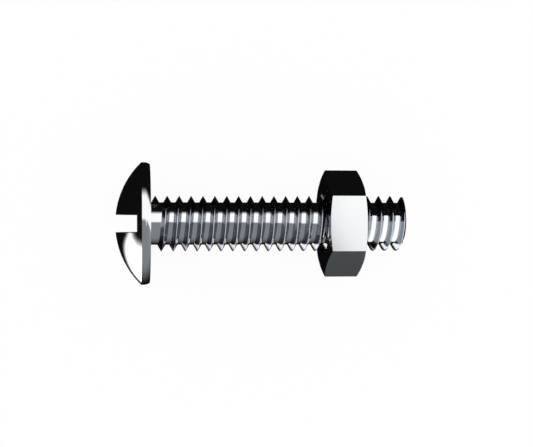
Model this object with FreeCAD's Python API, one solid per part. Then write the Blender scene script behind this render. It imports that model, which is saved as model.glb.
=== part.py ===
import FreeCAD, Part

import math
import os

from FreeCAD import Placement, Rotation, Vector

# Slotted mushroom head bolt with its hexagon nut, in millimetres.
# The axis of the bolt lies along X, with the head at -X and the tip at +X.
# The origin is the centre of the flat seat under the head, and Z is up.

# Head
head_diameter = 13.77        # over the straight land of the rim
dome_height = 2.90           # from the top edge of the rim to the crown
rim_thickness = 0.957        # from the seat under the head to the edge of the dome
rim_land = 0.32              # straight part of the rim, next to the dome
rim_turn_under = 0.20        # how far the rim curves in before it meets the seat
slot_width = 1.97
slot_depth = 2.51            # below the crown of the dome

# Shank and thread
shank_length = 28.84         # from the seat under the head to the tip
thread_diameter = 6.30       # over the sharp crests
pitch = 1.347                # one turn of the single-start thread
root_flat = 0.475            # width of the flat band between two turns
flank_angle = 60.0           # between the two flanks of a turn, in degrees
left_hand = True             # the turns climb against a normal screw's
first_turn_gap = 0.07        # bare shank between the seat and the foot of the first turn
first_turn_angle = 30.0      # where the first turn begins, from +Y towards +Z, in degrees
turn_rooting = 0.10          # how deep the ridge is rooted in the shank, so that the two are one

# Nut
nut_across_flats = 10.556
nut_thickness = 4.10
nut_position = 19.76         # from the seat under the head to the near face of the nut
nut_face_diameter = 10.70    # of the flat ring that the chamfer leaves on each face
nut_chamfer_angle = 15.0     # between the chamfer and the face, in degrees
bore_clearance = 0.05        # between the crests of the thread and the wall of the bore
countersink_width = 0.35     # of the bevel at each mouth of the bore
countersink_angle = 120.0    # included angle of that bevel, in degrees

# Sizes that follow from the ones above
head_radius = head_diameter / 2
head_height = dome_height + rim_thickness
crest_radius = thread_diameter / 2
flank_slope = math.tan(math.radians(flank_angle / 2))
thread_depth = (pitch - root_flat) / 2 / flank_slope
root_radius = crest_radius - thread_depth
first_turn_place = first_turn_gap + thread_depth * flank_slope
ridge_foot_radius = root_radius - turn_rooting
ridge_foot_width = 2 * (thread_depth + turn_rooting) * flank_slope
nut_end = nut_position + nut_thickness
nut_corner_radius = nut_across_flats / 2 / math.cos(math.radians(30))

# The helix is made of short pieces, which keeps its faces small.
pieces_per_turn = 4


def at(along, radius):
    """A point of a profile that is turned about the axis of the bolt."""
    return Vector(along, radius, 0)


def turned(edges):
    """The solid that a closed profile in the XY plane makes when it is turned about X."""
    face = Part.Face(Part.Wire(edges))
    return face.revolve(Vector(0, 0, 0), Vector(1, 0, 0), 360)


def line(start, end):
    return Part.LineSegment(start, end).toShape()


def arc(start, middle, end):
    return Part.Arc(start, middle, end).toShape()


def chain(points):
    """Straight edges through the points and back to the first."""
    return [line(a, b) for a, b in zip(points, points[1:] + points[:1])]


def dome_edge():
    """The spherical crown, as an arc from the axis to the top edge of the rim."""
    ball_radius = (head_radius ** 2 + dome_height ** 2) / (2 * dome_height)
    ball_centre = ball_radius - head_height
    half_angle = math.asin(head_radius / ball_radius) / 2
    middle = at(ball_centre - ball_radius * math.cos(half_angle), ball_radius * math.sin(half_angle))
    return arc(at(-head_height, 0), middle, at(-rim_thickness, head_radius))


def rim_edge():
    """The lower part of the rim, as an arc that leaves the land smoothly and ends on the seat."""
    length = rim_thickness - rim_land
    bend_radius = (length ** 2 + rim_turn_under ** 2) / (2 * rim_turn_under)
    half_angle = math.asin(length / bend_radius) / 2
    middle = at(
        bend_radius * math.sin(half_angle) - length,
        head_radius - bend_radius * (1 - math.cos(half_angle)),
    )
    return arc(at(-length, head_radius), middle, at(0, head_radius - rim_turn_under))


def turned_blank():
    """Head and plain shank, as they come off the lathe before the slot and the thread."""
    seat_edge = at(0, head_radius - rim_turn_under)
    shank_start = at(0, root_radius)
    tip_edge = at(shank_length, root_radius)
    tip_centre = at(shank_length, 0)
    return turned([
        dome_edge(),
        line(at(-rim_thickness, head_radius), at(rim_land - rim_thickness, head_radius)),
        rim_edge(),
        line(seat_edge, shank_start),
        line(shank_start, tip_edge),
        line(tip_edge, tip_centre),
        line(tip_centre, at(-head_height, 0)),
    ])


def screwdriver_slot():
    """The cutter for the slot, which runs right across the head along Z."""
    above = dome_height
    corner = Vector(-head_height - above, -slot_width / 2, -head_diameter)
    return Part.makeBox(above + slot_depth, slot_width, 2 * head_diameter, corner)


def helix_pieces(radius, along):
    """The helix that runs along the ridge at a radius, in short pieces about Z."""
    piece_height = pitch / pieces_per_turn
    piece_turn = -360 / pieces_per_turn if left_hand else 360 / pieces_per_turn
    pieces = math.ceil((shank_length - first_turn_place + ridge_foot_width) / piece_height)
    edges = []
    for i in range(pieces):
        piece = Part.makeHelix(pitch, piece_height, radius, 0, left_hand)
        piece.rotate(Vector(0, 0, 0), Vector(0, 0, 1), i * piece_turn)
        piece.translate(Vector(0, 0, along + i * piece_height))
        edges.extend(piece.Edges)
    return edges


def thread_ridge():
    """The helical V ridge, from its abrupt start near the head to the flat tip.

    Its three long sides are ruled between the helices of its foot and of its crest, about Z
    and from the +X side, and the whole is then laid along the bolt's axis.
    """
    corners = [
        helix_pieces(ridge_foot_radius, -ridge_foot_width / 2),
        helix_pieces(crest_radius, 0),
        helix_pieces(ridge_foot_radius, ridge_foot_width / 2),
    ]
    faces = []
    for corner, next_corner in zip(corners, corners[1:] + corners[:1]):
        faces.extend(Part.makeRuledSurface(a, b) for a, b in zip(corner, next_corner))
    for end in (0, -1):
        section = [corner[end].Vertexes[end].Point for corner in corners]
        faces.append(Part.Face(Part.Wire(chain(section))))
    shell = Part.makeShell(faces)
    shell.sewShape()
    ridge = Part.makeSolid(shell)
    if ridge.Volume < 0:
        ridge.reverse()

    lay_down = Placement(Vector(first_turn_place, 0, 0), Rotation(Vector(1, 1, 1), 120))
    turn_to_start = Placement(Vector(0, 0, 0), Rotation(Vector(1, 0, 0), first_turn_angle))
    ridge.Placement = turn_to_start.multiply(lay_down)
    up_to_tip = Part.makeCylinder(thread_diameter, shank_length, Vector(0, 0, 0), Vector(1, 0, 0))
    return ridge.common(up_to_tip)


def bolt():
    return turned_blank().cut(screwdriver_slot()).fuse(thread_ridge())


def hexagon_prism():
    """The plain hexagon, with a flat facing up and a flat facing down."""
    corners = []
    for i in range(6):
        angle = math.radians(60 * i)
        across = nut_corner_radius * math.cos(angle)
        up = nut_corner_radius * math.sin(angle)
        corners.append(Vector(nut_position, across, up))
    return Part.Face(Part.Wire(chain(corners))).extrude(Vector(nut_thickness, 0, 0))


def chamfer_envelope():
    """The turned shape that bounds both chamfered faces of the nut."""
    face_radius = nut_face_diameter / 2
    outside = nut_across_flats
    rise = (outside - face_radius) * math.tan(math.radians(nut_chamfer_angle))
    return turned(chain([
        at(nut_position, 0),
        at(nut_position, face_radius),
        at(nut_position + rise, outside),
        at(nut_end - rise, outside),
        at(nut_end, face_radius),
        at(nut_end, 0),
    ]))


def bore_cutter():
    """The round bore, which clears the crests of the thread, with a bevel at each mouth."""
    bore_radius = crest_radius + bore_clearance
    mouth_radius = bore_radius + countersink_width
    mouth_depth = countersink_width / math.tan(math.radians(countersink_angle / 2))
    return turned(chain([
        at(nut_position, 0),
        at(nut_position, mouth_radius),
        at(nut_position + mouth_depth, bore_radius),
        at(nut_end - mouth_depth, bore_radius),
        at(nut_end, mouth_radius),
        at(nut_end, 0),
    ]))


def nut():
    return hexagon_prism().common(chamfer_envelope()).cut(bore_cutter())


def single_solid(shape):
    """The one solid that a piece is made of."""
    shape = shape.removeSplitter()
    if len(shape.Solids) != 1 or not shape.isValid():
        raise ValueError("a piece isn't one valid solid")
    return shape.Solids[0]


def main():
    os.makedirs("parts", exist_ok=True)
    for name, shape in (("bolt", bolt()), ("nut", nut())):
        single_solid(shape).exportStep("parts/" + name + ".step")


main()
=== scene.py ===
import math

import bmesh
import bpy
from mathutils import Matrix, Vector

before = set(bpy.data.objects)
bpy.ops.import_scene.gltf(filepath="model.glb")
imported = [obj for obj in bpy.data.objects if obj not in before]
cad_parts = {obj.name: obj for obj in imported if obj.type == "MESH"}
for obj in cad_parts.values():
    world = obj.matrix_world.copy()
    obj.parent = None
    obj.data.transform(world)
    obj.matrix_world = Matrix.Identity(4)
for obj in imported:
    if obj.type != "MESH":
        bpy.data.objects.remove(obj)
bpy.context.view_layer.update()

MM = 0.001
WHITE = (1.0, 1.0, 1.0, 1.0)

# Camera, as the photograph was taken: from above, a little from the side of the head
CAMERA_PLACE = Vector((-0.0030, 0.0, 0.1314))
CAMERA_LOOKS = Vector((0.12264, 0.0, -0.99245))
CAMERA_UP = Vector((0.0, 1.0, 0.0))
CAMERA_LENS = 78.55
CAMERA_SENSOR = 36.0
CAMERA_CLIP_START = 0.005

# The bolt rests on the rim of its head and on the edge of the nut next to the tip
RIM_TOUCH = Vector((-0.8, 0.0, -6.885)) * MM
NUT_TOUCH = Vector((23.86, 0.0, -5.278)) * MM
FLOOR_SIZE = 1.2
FLOOR_GLOW_SHARE = 0.93

# Light tent of black and grey cloth, which only the steel mirrors
TENT_RADIUS = 0.6
TENT_SUBDIVISIONS = 5
BLACK_CLOTH = (0.004, 0.004, 0.004, 1.0)
GREY_CLOTH = (0.205, 0.215, 0.225, 1.0)
PALE_CLOTH = (0.26, 0.29, 0.33, 1.0)
END_CLOTH = (0.42, 0.44, 0.46, 1.0)
SIDE_LIGHT = (1.8, 1.8, 1.8, 1.0)

# How much the sides of the tent's windows bend or slant
INNER_SIDE_BEND = 0.355
OUTER_SIDE_BEND = 0.6
NUT_WINDOW_SLANT = 0.6

# Cards close round the last turns of the thread and on past the tip. Their angles go round the
# bolt's axis in degrees, from straight up towards +Y.
CARD_RADIUS = 12.0 * MM
CARD_DRUM_SIDES = 128
WHITE_CARD_START = 26.1 * MM
WHITE_CARD_END = 42.0 * MM
WHITE_CARD_ANGLES = (-109.0, 12.0)
UPPER_CARD_START = 25.5 * MM
UPPER_CARD_END = 33.0 * MM
UPPER_CARD_ANGLES = (40.0, 75.0)
BLACK_CARD_START = 33.0 * MM
BLACK_CARD_END = 46.0 * MM
BLACK_CARD_ANGLES = (12.0, 75.0)

# Sizes of the bolt and the nut that the finish follows. Radii are from the bolt's axis, and
# places along it are from the seat under the head.
RIM_SEAT_RADIUS = 6.685 * MM      # where the rim meets the seat
RIM_CURVE = 0.637 * MM            # length along the axis of the rim's curved lower part
RIM_BEND = 1.114 * MM             # radius of that curve
TIP = 28.84 * MM
ROOT_RADIUS = 2.395 * MM
CREST_RADIUS = 3.15 * MM
CREST_ROUNDING = 0.055 * MM       # how far along the axis from the crest its rounding reaches
PITCH = 1.347 * MM
FLANK_TILT = math.radians(60)     # between the outward direction and a flank's normal
FIRST_CREST = 0.506 * MM          # where the crest of the first turn starts
START_ANGLE = 30.0                # and its angle there, from +Y towards +Z, in degrees
FIRST_TURN = 1.0 * MM             # the ridge's abrupt start isn't looked for past this place
BORE_RADIUS = 3.20 * MM
MOUTH_RADIUS = 3.55 * MM          # of the bore's bevelled mouths

# Colours of the steel. The flank, ridge start, end face, mouth and groove colours are painted shade.
BOLT_COLOURS = ((0.95, 0.965, 0.98, 1.0), (0.985, 0.99, 1.0, 1.0))
NUT_COLOURS = ((0.955, 0.98, 0.995, 1.0), (0.985, 0.995, 1.0, 1.0))
FLANK_SHADE_COLOUR = (0.46, 0.49, 0.53, 1.0)
RIDGE_START_SHADE = (0.03, 0.03, 0.03, 1.0)
END_FACE_SHADE = (0.50, 0.51, 0.53, 1.0)
MOUTH_SHADE = (0.08, 0.085, 0.09, 1.0)
GROOVE_SHADE = (0.12, 0.13, 0.14, 1.0)

# Roughness of the steel, and what its marks add to that
BOLT_ROUGHNESS = 0.05
BOLT_CLOUD_ROUGHNESS = 0.02
RING_ROUGHNESS = 0.04
FLANK_ROUGHNESS = 0.06
NUT_ROUGHNESS = 0.07
NUT_CLOUD_ROUGHNESS = 0.04

# Fineness and height of the marks on the steel
CLOUD_SCALE = 260.0
CLOUD_DETAIL = 3.0
RING_SCALES = (9000.0, 500.0, 500.0)
RING_DETAIL = 2.0
RING_HEIGHT = 0.02 * MM
RING_STRENGTH = 0.02
GROOVE_DEPTH = 0.3 * MM


# Shader maths

class Socket:
    """A value of a node tree that can be added, subtracted, multiplied and divided in Python."""

    def __init__(self, graph, source):
        self.graph = graph
        self.source = source

    def __add__(self, other):
        return self.graph.maths("ADD", self, other)

    def __radd__(self, other):
        return self.graph.maths("ADD", other, self)

    def __sub__(self, other):
        return self.graph.maths("SUBTRACT", self, other)

    def __rsub__(self, other):
        return self.graph.maths("SUBTRACT", other, self)

    def __mul__(self, other):
        return self.graph.maths("MULTIPLY", self, other)

    def __rmul__(self, other):
        return self.graph.maths("MULTIPLY", other, self)

    def __truediv__(self, other):
        return self.graph.maths("DIVIDE", self, other)


class Graph:
    """The node tree of one material or world, written as expressions."""

    def __init__(self, tree):
        self.tree = tree

    def node(self, kind, settings=(), **sockets):
        """A node of a type, with its settings first and then its sockets' values or links."""
        node = self.tree.nodes.new(kind)
        for name, value in dict(settings).items():
            setattr(node, name, value)
        for name, value in sockets.items():
            self.feed(node.inputs[name.replace("_", " ")], value)
        return node

    def feed(self, target, value):
        if isinstance(value, Socket):
            self.tree.links.new(value.source, target)
        else:
            target.default_value = value

    def feed_all(self, targets, values):
        for target, value in zip(targets, values):
            self.feed(target, value)

    def out(self, node, name=0):
        return Socket(self, node.outputs[name])

    def maths(self, operation, *values):
        node = self.node("ShaderNodeMath", {"operation": operation})
        self.feed_all(node.inputs, values)
        return self.out(node)

    def step(self, value, low, high):
        """Zero below low, one above high and smooth between; the other way if low is higher."""
        node = self.node("ShaderNodeMapRange", {"interpolation_type": "SMOOTHSTEP"}, Value=value)
        node.inputs["From Min"].default_value = low
        node.inputs["From Max"].default_value = high
        return self.out(node)

    def between(self, value, low, low_full, high_full, high):
        """One between the two inner numbers, fading to zero at the two outer ones."""
        return self.step(value, low, low_full) * self.step(value, high, high_full)

    def either(self, first, second):
        return self.maths("MAXIMUM", first, second)

    def limited(self, value, low, high):
        return self.maths("MAXIMUM", self.maths("MINIMUM", value, high), low)

    def blend(self, share, first, second):
        """The first colour where share is zero and the second where it is one."""
        node = self.node("ShaderNodeMix", {"data_type": "RGBA"})
        self.feed_all((node.inputs[0], node.inputs[6], node.inputs[7]), (share, first, second))
        return self.out(node, 2)

    def turned(self, share, first, second):
        """The first direction where share is zero and the second where it is one."""
        node = self.node("ShaderNodeMix", {"data_type": "VECTOR"})
        self.feed_all((node.inputs[0], node.inputs[4], node.inputs[5]), (share, first, second))
        return self.out(node, 1)

    def mix(self, share, first, second):
        """The first shader where share is zero and the second where it is one."""
        node = self.node("ShaderNodeMixShader")
        self.feed_all(node.inputs, (share, self.out(first), self.out(second)))
        return node

    def coordinates(self, kind):
        return self.out(self.node("ShaderNodeTexCoord"), kind)

    def split(self, vector):
        """The three parts of a vector."""
        parts = self.node("ShaderNodeSeparateXYZ", Vector=vector)
        return [self.out(parts, axis) for axis in "XYZ"]

    def facing(self, along, across, up):
        """A direction given along the object's own axes, as a normal."""
        parts = self.node("ShaderNodeCombineXYZ", X=along, Y=across, Z=up)
        settings = {"vector_type": "NORMAL", "convert_from": "OBJECT", "convert_to": "WORLD"}
        return self.out(self.node("ShaderNodeVectorTransform", settings, Vector=self.out(parts)))

    def noise(self, vector, scale, detail):
        return self.out(self.node("ShaderNodeTexNoise", Vector=vector, Scale=scale, Detail=detail), "Fac")

    def stretched(self, vector, scales):
        """The vector drawn out unevenly, for marks that run one way."""
        node = self.node("ShaderNodeVectorMath", {"operation": "MULTIPLY"})
        self.feed_all(node.inputs, (vector, scales))
        return self.out(node)


def new_graph(name):
    """An empty material and its graph."""
    material = bpy.data.materials.new(name)
    material.use_nodes = True
    material.node_tree.nodes.clear()
    return material, Graph(material.node_tree)


def finish_graph(graph, shader):
    graph.node("ShaderNodeOutputMaterial", Surface=graph.out(shader))


def seen_by_eye_or_metal(graph):
    """One on a ray from the camera, off metal or through glass, and zero elsewhere."""
    path = graph.node("ShaderNodeLightPath")
    eye = graph.out(path, "Is Camera Ray")
    metal = graph.out(path, "Is Glossy Ray")
    glass = graph.out(path, "Is Transmission Ray")
    return graph.either(eye, graph.either(metal, glass))


# Camera and studio

def add_camera():
    data = bpy.data.cameras.new("camera")
    data.lens = CAMERA_LENS
    data.sensor_width = CAMERA_SENSOR
    data.clip_start = CAMERA_CLIP_START
    camera = bpy.data.objects.new("camera", data)
    bpy.context.scene.collection.objects.link(camera)
    back = -CAMERA_LOOKS.normalized()
    right = CAMERA_UP.cross(back)
    up = back.cross(right)
    turn = Matrix((right, up, back)).transposed()
    camera.matrix_world = Matrix.Translation(CAMERA_PLACE) @ turn.to_4x4()
    bpy.context.scene.camera = camera


def light_the_world():
    """White all round, which the camera sees and which is the only light on the floor."""
    world = bpy.data.worlds.new("studio")
    world.use_nodes = True
    world.node_tree.nodes.clear()
    graph = Graph(world.node_tree)
    white = graph.node("ShaderNodeBackground", Color=WHITE, Strength=1.0)
    graph.node("ShaderNodeOutputWorld", Surface=graph.out(white))
    bpy.context.scene.world = world


def floor_material():
    """White paper that takes the bolt's shadow."""
    material, graph = new_graph("white paper")
    glow = graph.node("ShaderNodeEmission", Color=WHITE, Strength=1.0)
    matt = graph.node("ShaderNodeBsdfDiffuse", Color=WHITE)
    share = seen_by_eye_or_metal(graph) * FLOOR_GLOW_SHARE
    finish_graph(graph, graph.mix(share, matt, glow))
    return material


def lay_floor():
    """The bolt lies on its rim and on its nut, so the floor is at a small angle to its axis."""
    bpy.ops.object.select_all(action="DESELECT")
    bpy.ops.mesh.primitive_plane_add(size=FLOOR_SIZE)
    floor = bpy.context.object
    floor.name = "floor"
    along = NUT_TOUCH - RIM_TOUCH
    floor.rotation_euler = (0.0, -math.atan2(along.z, along.x), 0.0)
    floor.location = RIM_TOUCH
    floor.data.materials.append(floor_material())
    floor.visible_glossy = False


# Light tent

class Sky:
    """The directions in which the steel sees the tent.

    The reach is how far a direction points from the head to the tip, the lean how far it points
    to +Y and the rise how far it points up, each from -1 to 1. The angle goes round the bolt's
    axis in degrees, from straight up towards +Y. The front is the half of the tent on the tip's
    side. Each side of an opening or a cloth is soft and fades between two numbers.
    """

    def __init__(self, graph):
        along, across, up = graph.split(graph.coordinates("Object"))
        self.graph = graph
        self.reach = along / TENT_RADIUS
        self.lean = across / TENT_RADIUS
        self.rise = up / TENT_RADIUS
        self.angle = graph.maths("ARCTAN2", across, up) * (180 / math.pi)
        self.front = graph.step(self.reach, -0.06, 0.0)

    def long_window(self):
        """The long opening at +Y. Its two long sides bend towards -Y the further they reach."""
        bend = self.reach * self.reach
        inner_side = self.graph.step(self.lean + INNER_SIDE_BEND * bend, 0.065, 0.20)
        outer_side = self.graph.step(self.lean + OUTER_SIDE_BEND * bend, 0.95, 0.77)
        over_horizon = self.graph.step(self.rise, 0.0, 0.06)
        return inner_side * outer_side * over_horizon * self.front

    def nut_window(self):
        """The small opening that the nut's upper flat mirrors."""
        head_side = self.graph.step(self.reach + NUT_WINDOW_SLANT * self.lean, 0.162, 0.224)
        tip_side = self.graph.step(self.reach, 0.29, 0.26)
        return head_side * tip_side * self.graph.between(self.angle, -7, -3, 10, 16)

    def head_window(self):
        """The opening behind the head, above the horizon."""
        behind_head = self.graph.step(self.reach, -0.06, -0.14)
        over_horizon = self.graph.step(self.rise, 0.06, 0.2)
        return behind_head * over_horizon * self.graph.step(self.angle, 60, 40)

    def side_light(self):
        """The bright patch behind the head, under the horizon and at -Y."""
        under_side = self.graph.between(self.angle, -168, -155, -112, -98)
        return under_side * self.graph.between(self.reach, -0.97, -0.87, -0.36, -0.2)

    def grey_cloth(self):
        """The grey side in front of the head, from straight up round to -Y and under it."""
        return self.graph.between(self.angle, -150, -70, 8, 14) * self.front

    def pale_cloth(self):
        """The paler part of the grey side, towards the tip and towards straight up."""
        return self.graph.step(self.reach, 0.45, 0.9) * self.graph.step(self.angle, -75, -20)

    def end_cloth(self):
        """The round end of the tent, straight ahead of the tip."""
        return self.graph.step(self.reach, 0.955, 0.985)


def tent_material():
    """Black and grey cloth, which lets the white world through where the tent is open."""
    material, graph = new_graph("tent cloth")
    sky = Sky(graph)
    opening = graph.either(graph.either(sky.long_window(), sky.nut_window()), sky.head_window())
    colour = graph.blend(sky.pale_cloth(), GREY_CLOTH, PALE_CLOTH)
    colour = graph.blend(sky.grey_cloth(), BLACK_CLOTH, colour)
    colour = graph.blend(sky.end_cloth(), colour, END_CLOTH)
    colour = graph.blend(sky.side_light(), colour, SIDE_LIGHT)
    cloth = graph.node("ShaderNodeEmission", Color=colour)
    hole = graph.node("ShaderNodeBsdfTransparent")
    finish_graph(graph, graph.mix(opening, cloth, hole))
    return material


def only_in_metal(piece):
    piece.visible_camera = False
    piece.visible_diffuse = False
    piece.visible_shadow = False
    piece.visible_transmission = False
    piece.visible_volume_scatter = False


def hang_tent():
    bpy.ops.object.select_all(action="DESELECT")
    bpy.ops.mesh.primitive_ico_sphere_add(subdivisions=TENT_SUBDIVISIONS, radius=TENT_RADIUS)
    tent = bpy.context.object
    tent.name = "tent"
    tent.data.materials.append(tent_material())
    only_in_metal(tent)


def card_material(name, colour):
    material, graph = new_graph(name)
    finish_graph(graph, graph.node("ShaderNodeEmission", Color=colour, Strength=1.0))
    return material


def hang_card(name, start, end, angles, colour):
    """A narrow card close round the end of the bolt, which only the steel mirrors. It is a strip
    of a drum about the bolt's axis."""
    bpy.ops.object.select_all(action="DESELECT")
    bpy.ops.mesh.primitive_cylinder_add(
        vertices=CARD_DRUM_SIDES,
        radius=CARD_RADIUS,
        depth=end - start,
        end_fill_type="NOTHING",
        location=((start + end) / 2, 0.0, 0.0),
        rotation=(0.0, math.pi / 2, 0.0),
    )
    bpy.ops.object.transform_apply(location=True, rotation=True, scale=True)
    card = bpy.context.object
    card.name = name
    low, high = angles
    bpy.ops.object.mode_set(mode="EDIT")
    mesh = bmesh.from_edit_mesh(card.data)
    for face in mesh.faces:
        middle = face.calc_center_median()
        face.select_set(not low < math.degrees(math.atan2(middle.y, middle.z)) < high)
    bmesh.update_edit_mesh(card.data)
    bpy.ops.mesh.delete(type="FACE")
    bpy.ops.object.mode_set(mode="OBJECT")
    card.data.materials.append(card_material(name, colour))
    only_in_metal(card)


# Steel

class Steel:
    """One steel's material and graph, and what its marks follow.

    These are the place along the bolt, across it to +Y and up from it, the radius from its axis,
    the turn about the axis from +Y towards +Z, where one is a full turn, and a cloud of noise.
    """

    def __init__(self, name):
        self.material, self.graph = new_graph(name)
        self.place = self.graph.coordinates("Object")
        self.along, self.across, self.up = self.graph.split(self.place)
        self.radius = self.graph.maths("SQRT", self.across * self.across + self.up * self.up)
        self.turn = self.graph.maths("ARCTAN2", self.up, self.across) / (2 * math.pi)
        self.cloud = self.graph.noise(self.place, CLOUD_SCALE, CLOUD_DETAIL)

    def finish(self, colour, rough, bump):
        """The material, once its colour, its roughness and its bumps are known."""
        shader = self.graph.node(
            "ShaderNodeBsdfPrincipled",
            Base_Color=colour,
            Metallic=1.0,
            Roughness=rough,
            Normal=self.graph.out(bump),
        )
        finish_graph(self.graph, shader)
        return self.material


def smooth_rim(steel):
    """Where the curved lower part of the rim is, and the direction that it really faces there."""
    graph = steel.graph
    off_seat = graph.step(steel.radius, RIM_SEAT_RADIUS - 0.02 * MM, RIM_SEAT_RADIUS - 0.01 * MM)
    on_curve = graph.between(
        steel.along, -RIM_CURVE, 0.02 * MM - RIM_CURVE, -0.006 * MM, -0.002 * MM
    )
    forward = (steel.along + RIM_CURVE) / RIM_BEND
    outward = graph.maths("SQRT", 1 - forward * forward) / steel.radius
    return off_seat * on_curve, graph.facing(forward, steel.across * outward, steel.up * outward)


def smooth_thread(steel):
    """Where the ridge of the thread is, and the direction that its flanks and its slightly
    rounded crest really face there. The turns are left-handed."""
    graph = steel.graph
    off_root = graph.step(steel.radius, ROOT_RADIUS + 0.008 * MM, ROOT_RADIUS + 0.012 * MM)
    off_ends = graph.between(
        steel.along, 0.004 * MM, 0.006 * MM, TIP - 0.006 * MM, TIP - 0.004 * MM
    )
    turns = (steel.along - FIRST_CREST) / PITCH + steel.turn
    from_crest = graph.maths("FRACT", turns + (0.5 - START_ANGLE / 360)) - 0.5
    side = graph.limited(from_crest * (PITCH / CREST_ROUNDING), -1.0, 1.0)
    forward = graph.maths("SINE", side * FLANK_TILT)
    outward = graph.maths("COSINE", side * FLANK_TILT) / steel.radius
    round_about = forward * (PITCH / (2 * math.pi)) / (steel.radius * steel.radius)
    across = outward * steel.across - round_about * steel.up
    up = outward * steel.up + round_about * steel.across
    return off_root * off_ends, graph.facing(forward, across, up)


def smooth_normal(steel):
    """The mesh's own normal, but that of the real curve on the rim and on the thread."""
    normal = steel.graph.out(steel.graph.node("ShaderNodeNewGeometry"), "Normal")
    for share, smooth in (smooth_thread(steel), smooth_rim(steel)):
        normal = steel.graph.turned(share, normal, smooth)
    return normal


def painted_flank_shade(steel):
    """Where the thread's flanks get their painted shade, but neither its roots nor the edges of its
    crests, which keep the plain steel colour.
    """
    graph = steel.graph
    past_seat = graph.step(steel.along, -0.03 * MM, -0.01 * MM)
    off_root = graph.step(steel.radius, ROOT_RADIUS * 1.004, ROOT_RADIUS * 1.03)
    on_crest = graph.step(steel.radius, CREST_RADIUS - 0.07 * MM, CREST_RADIUS - 0.02 * MM)
    return off_root * past_seat * (1 - on_crest)


def ridge_start(steel):
    """Where the abrupt start of the first turn is, which gets a painted shade of almost black."""
    graph = steel.graph
    angle = steel.turn * 360 - START_ANGLE
    at_angle = graph.between(angle, -1.7, -0.7, 0.7, 1.7)
    in_first_turn = graph.between(
        steel.along, 0.02 * MM, 0.04 * MM, FIRST_TURN, FIRST_TURN + 0.1 * MM
    )
    off_root = graph.step(steel.radius, ROOT_RADIUS * 1.002, ROOT_RADIUS * 1.004)
    return at_angle * in_first_turn * off_root


def bolt_steel():
    """Polished steel with fine turned rings, rougher on the flanks of the thread, with painted shade on
    the flanks and on the start of the ridge.
    """
    steel = Steel("bolt_steel")
    graph = steel.graph
    rings = graph.noise(graph.stretched(steel.place, RING_SCALES), 1.0, RING_DETAIL)
    flank = painted_flank_shade(steel)
    colour = graph.blend(steel.cloud, *BOLT_COLOURS)
    # Painted shade: the thread's flanks are darker than the rest of the steel.
    colour = graph.blend(flank, colour, FLANK_SHADE_COLOUR)
    # Painted shade: the abrupt start of the ridge is almost black.
    colour = graph.blend(ridge_start(steel), colour, RIDGE_START_SHADE)
    rough = BOLT_ROUGHNESS + steel.cloud * BOLT_CLOUD_ROUGHNESS
    rough = rough + rings * RING_ROUGHNESS + flank * FLANK_ROUGHNESS
    bump = graph.node(
        "ShaderNodeBump",
        Strength=RING_STRENGTH,
        Distance=RING_HEIGHT,
        Height=rings,
        Normal=smooth_normal(steel),
    )
    return steel.finish(colour, rough, bump)


def nut_steel():
    """Polished steel with a softer mirror than the bolt's, and the thread inside the bore as bumps, with
    painted shade on the end faces, the bore's mouths and the thread's grooves.
    """
    steel = Steel("nut_steel")
    graph = steel.graph
    phase = graph.maths("FRACT", steel.along / PITCH + steel.turn)
    groove = graph.step(graph.maths("ABSOLUTE", phase - 0.5), 0.42, 0.08)
    bore = graph.step(steel.radius, BORE_RADIUS * 1.01, BORE_RADIUS * 1.002)
    shaded_mouth = graph.step(steel.radius, MOUTH_RADIUS * 1.004, MOUTH_RADIUS * 0.998)
    forward = graph.split(graph.coordinates("Normal"))[0]
    shaded_end_face = graph.step(graph.maths("ABSOLUTE", forward), 0.90, 0.95)

    colour = graph.blend(steel.cloud, *NUT_COLOURS)
    # Painted shade: the nut's end faces are darker, and the bore's mouths and the grooves of its thread
    # are almost black.
    colour = graph.blend(shaded_end_face, colour, END_FACE_SHADE)
    colour = graph.blend(shaded_mouth, colour, MOUTH_SHADE)
    colour = graph.blend(bore * groove, colour, GROOVE_SHADE)
    rough = NUT_ROUGHNESS + steel.cloud * NUT_CLOUD_ROUGHNESS
    bump = graph.node("ShaderNodeBump", Strength=1.0, Distance=GROOVE_DEPTH, Height=bore * (1 - groove))
    return steel.finish(colour, rough, bump)


def dress_cad_nodes():
    finishes = {"bolt": bolt_steel(), "nut": nut_steel()}
    for name, finish in finishes.items():
        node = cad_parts[name]
        node.data.materials.clear()
        node.data.materials.append(finish)


bpy.context.scene.view_settings.view_transform = "Standard"
add_camera()
light_the_world()
lay_floor()
hang_tent()
hang_card("white_card", WHITE_CARD_START, WHITE_CARD_END, WHITE_CARD_ANGLES, WHITE)
hang_card("black_card", BLACK_CARD_START, BLACK_CARD_END, BLACK_CARD_ANGLES, BLACK_CLOTH)
hang_card("upper_card", UPPER_CARD_START, UPPER_CARD_END, UPPER_CARD_ANGLES, BLACK_CLOTH)
dress_cad_nodes()
